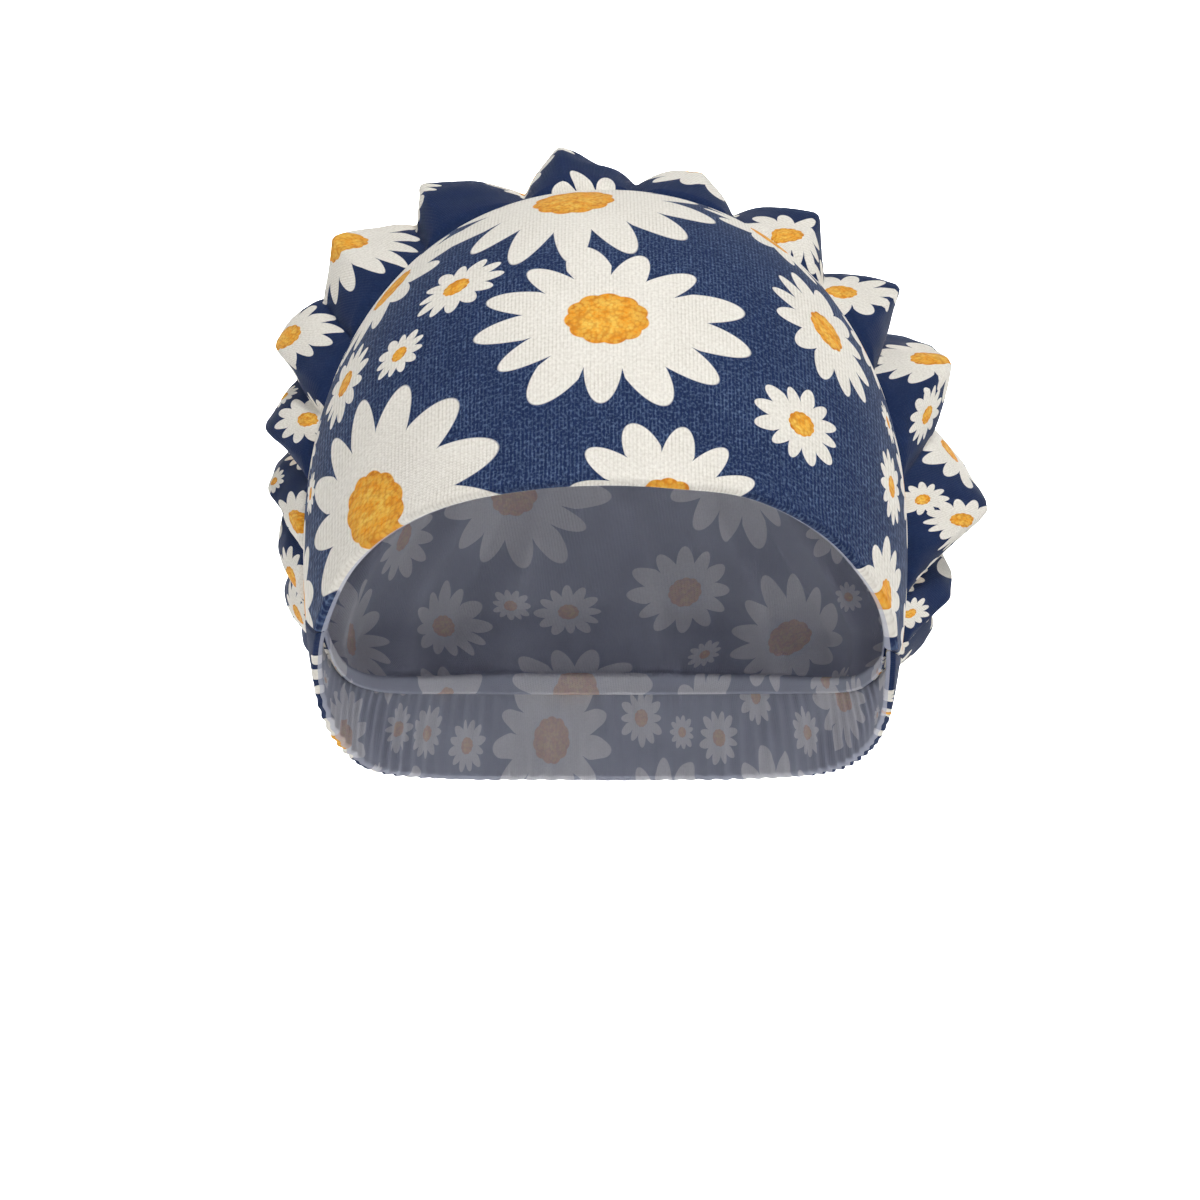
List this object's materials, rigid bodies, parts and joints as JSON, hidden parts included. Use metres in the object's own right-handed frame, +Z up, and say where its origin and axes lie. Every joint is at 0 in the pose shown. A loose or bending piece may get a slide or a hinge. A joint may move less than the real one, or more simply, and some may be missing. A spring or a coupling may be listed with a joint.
{
  "type": "bouffant scrub cap",
  "caption": "Soft bouffant scrub cap: a wide smooth front band, a gathered crown with deep soft pleats, and a narrow gathered nape casing; open below.",
  "frame": {"origin": "on the head's axis, at the level where the head opening closes at the sides, 24 mm below the widest level of the head", "axes": "+Z up along the head's axis; the brow faces -Y; +X is to the right as seen from the front, the wearer's left"},
  "size_m": [0.1927, 0.2151, 0.1735],
  "materials": {
    "band_jersey": "printed stretch jersey, double layer",
    "crown_jersey": "printed stretch jersey, single layer",
    "nape_jersey": "printed stretch jersey, folded casing"
  },
  "bodies": {
    "root": {"front_band": "band_jersey", "crown": "crown_jersey", "nape_band": "nape_jersey"}
  },
  "joints": []
}
